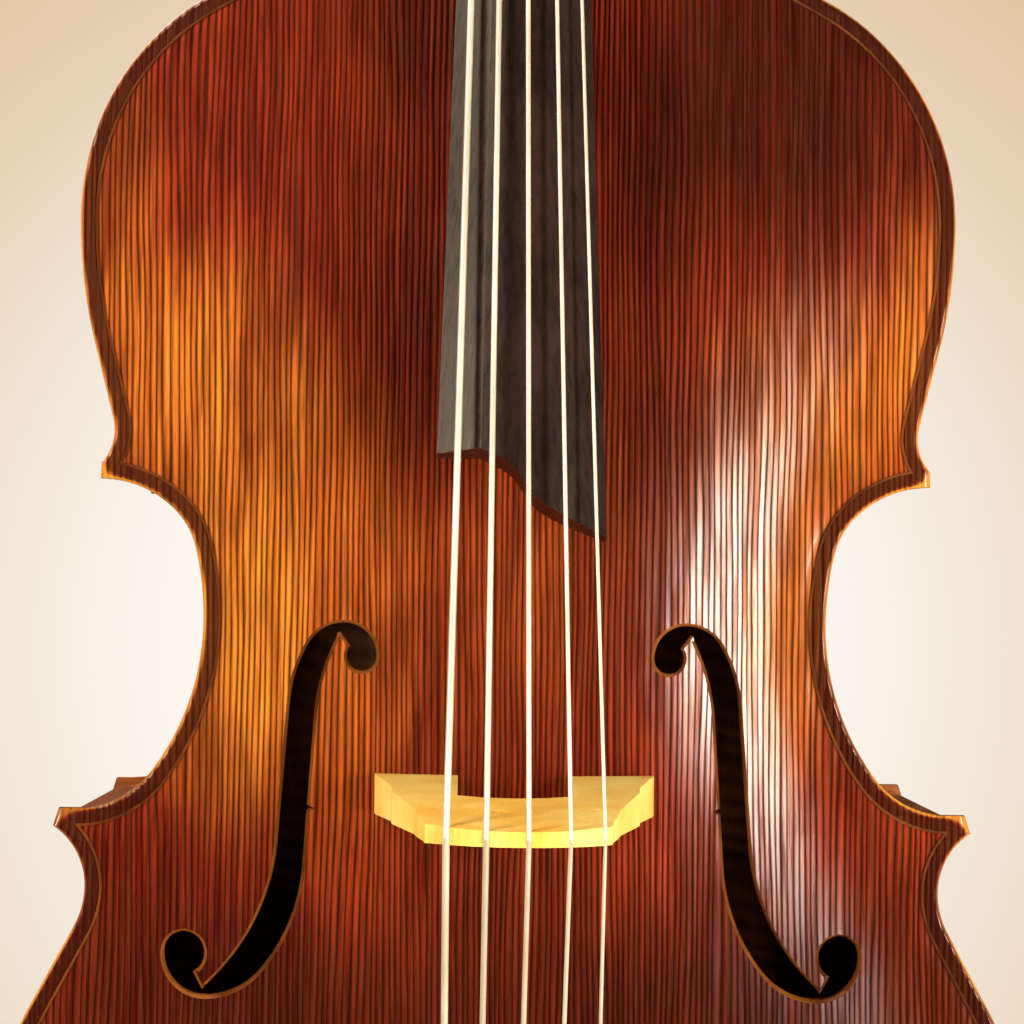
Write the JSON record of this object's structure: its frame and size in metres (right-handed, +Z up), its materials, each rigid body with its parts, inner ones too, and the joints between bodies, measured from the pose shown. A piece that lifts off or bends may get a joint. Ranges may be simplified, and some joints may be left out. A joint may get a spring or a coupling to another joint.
{
  "type": "double bass",
  "caption": "Upright double bass with flat-wound strings on geared tuners, arched ridged-spruce top, f-holes, bevelled ebony fingerboard, maple bridge and sliding endpin.",
  "frame": {"origin": "centre of the underside of the rubber endpin tip, where the instrument meets the floor", "axes": "+Z up along the instrument from the endpin to the scroll; the front with the strings faces -Y; +X is the player's treble side, which is on the right seen from the front"},
  "size_m": [0.68, 0.4431, 2.0651],
  "materials": {
    "spruce_varnished": "deep red-brown gloss varnish over ridged spruce",
    "maple_varnished": "red-brown gloss varnish over flamed maple",
    "ebony": "dark brown-black satin",
    "bridge_maple": "pale yellow unvarnished maple",
    "purfling": "dark inlay",
    "inner_spruce": "bare pale spruce",
    "string_metal": "flat-wound steel strings",
    "brass": "aged brass",
    "nickel_steel": "nickel-plated steel",
    "rubber": "matte black rubber"
  },
  "bodies": {
    "body": {"back_linings": "inner_spruce", "back_plate": "maple_varnished", "back_purfling": "purfling", "bass_bar": "inner_spruce", "bridge": "bridge_maple", "c_rib_left": "maple_varnished", "c_rib_right": "maple_varnished", "end_block": "inner_spruce", "endpin_socket": "nickel_steel", "fingerboard": "ebony", "lower_corner_block_left": "inner_spruce", "lower_corner_block_right": "inner_spruce", "lower_rib_left": "maple_varnished", "lower_rib_right": "maple_varnished", "machine_plate_bass": "brass", "machine_plate_screws": "nickel_steel", "machine_plate_treble": "brass", "neck": "maple_varnished", "neck_block": "inner_spruce", "nut": "ebony", "saddle": "ebony", "sound_post": "inner_spruce", "string_a": "string_metal", "string_b": "string_metal", "string_d": "string_metal", "string_e": "string_metal", "string_g": "string_metal", "tail_wire": "nickel_steel", "tailpiece": "ebony", "top_linings": "inner_spruce", "top_plate": "spruce_varnished", "top_purfling": "purfling", "upper_corner_block_left": "inner_spruce", "upper_corner_block_right": "inner_spruce", "upper_rib_left": "maple_varnished", "upper_rib_right": "maple_varnished"},
    "endpin": {"endpin_rod": "nickel_steel", "endpin_tip": "rubber"},
    "lock_screw": {"thumb_screw": "nickel_steel"},
    "key_b": {"worm_key_b": "brass"},
    "roller_b": {"string_roller_b": "nickel_steel", "gear_wheel_b": "brass", "string_winding_b": "string_metal"},
    "key_e": {"worm_key_e": "brass"},
    "roller_e": {"string_roller_e": "nickel_steel", "gear_wheel_e": "brass", "string_winding_e": "string_metal"},
    "key_a": {"worm_key_a": "brass"},
    "roller_a": {"string_roller_a": "nickel_steel", "gear_wheel_a": "brass", "string_winding_a": "string_metal"},
    "key_d": {"worm_key_d": "brass"},
    "roller_d": {"string_roller_d": "nickel_steel", "gear_wheel_d": "brass", "string_winding_d": "string_metal"},
    "key_g": {"worm_key_g": "brass"},
    "roller_g": {"string_roller_g": "nickel_steel", "gear_wheel_g": "brass", "string_winding_g": "string_metal"}
  },
  "joints": [
    {"name": "key_turn_b", "type": "hinge", "parent": "body", "child": "key_b", "pos_m": [-0.0381, -0.00237, 1.82546], "axis": [0, 0.9322, -0.3619], "continuous": true},
    {"name": "roller_turn_b", "type": "hinge", "parent": "body", "child": "roller_b", "pos_m": [0, -0.0099, 1.80607], "axis": [1, 0, 0], "continuous": true},
    {"name": "key_turn_e", "type": "hinge", "parent": "body", "child": "key_e", "pos_m": [-0.0381, 0.02296, 1.89072], "axis": [0, 0.9322, -0.3619], "continuous": true},
    {"name": "roller_turn_e", "type": "hinge", "parent": "body", "child": "roller_e", "pos_m": [0, 0.01544, 1.87133], "axis": [1, 0, 0], "continuous": true},
    {"name": "key_turn_a", "type": "hinge", "parent": "body", "child": "key_a", "pos_m": [-0.0381, 0.04829, 1.95598], "axis": [0, 0.9322, -0.3619], "continuous": true},
    {"name": "roller_turn_a", "type": "hinge", "parent": "body", "child": "roller_a", "pos_m": [0, 0.04077, 1.93659], "axis": [1, 0, 0], "continuous": true},
    {"name": "key_turn_d", "type": "hinge", "parent": "body", "child": "key_d", "pos_m": [0.0381, 0.03563, 1.92335], "axis": [0, 0.9322, -0.3619], "continuous": true},
    {"name": "roller_turn_d", "type": "hinge", "parent": "body", "child": "roller_d", "pos_m": [0, 0.0281, 1.90396], "axis": [1, 0, 0], "continuous": true},
    {"name": "key_turn_g", "type": "hinge", "parent": "body", "child": "key_g", "pos_m": [0.0381, 0.0103, 1.85809], "axis": [0, 0.9322, -0.3619], "continuous": true},
    {"name": "roller_turn_g", "type": "hinge", "parent": "body", "child": "roller_g", "pos_m": [0, 0.00277, 1.8387], "axis": [1, 0, 0], "continuous": true},
    {"name": "endpin_slide", "type": "slide", "parent": "body", "child": "endpin", "axis": [0, 0, -1], "range_m": [-0.07, 0.12]},
    {"name": "lock_screw_turn", "type": "hinge", "parent": "body", "child": "lock_screw", "pos_m": [0, -0.02, 0.123], "axis": [0, -1, 0], "range_deg": [-720, 0]}
  ],
  "couplings": [
    {"joint": "roller_turn_b", "follows": "key_turn_b", "ratio": 0.041667},
    {"joint": "roller_turn_e", "follows": "key_turn_e", "ratio": 0.041667},
    {"joint": "roller_turn_a", "follows": "key_turn_a", "ratio": 0.041667},
    {"joint": "roller_turn_d", "follows": "key_turn_d", "ratio": -0.041667},
    {"joint": "roller_turn_g", "follows": "key_turn_g", "ratio": -0.041667}
  ]
}
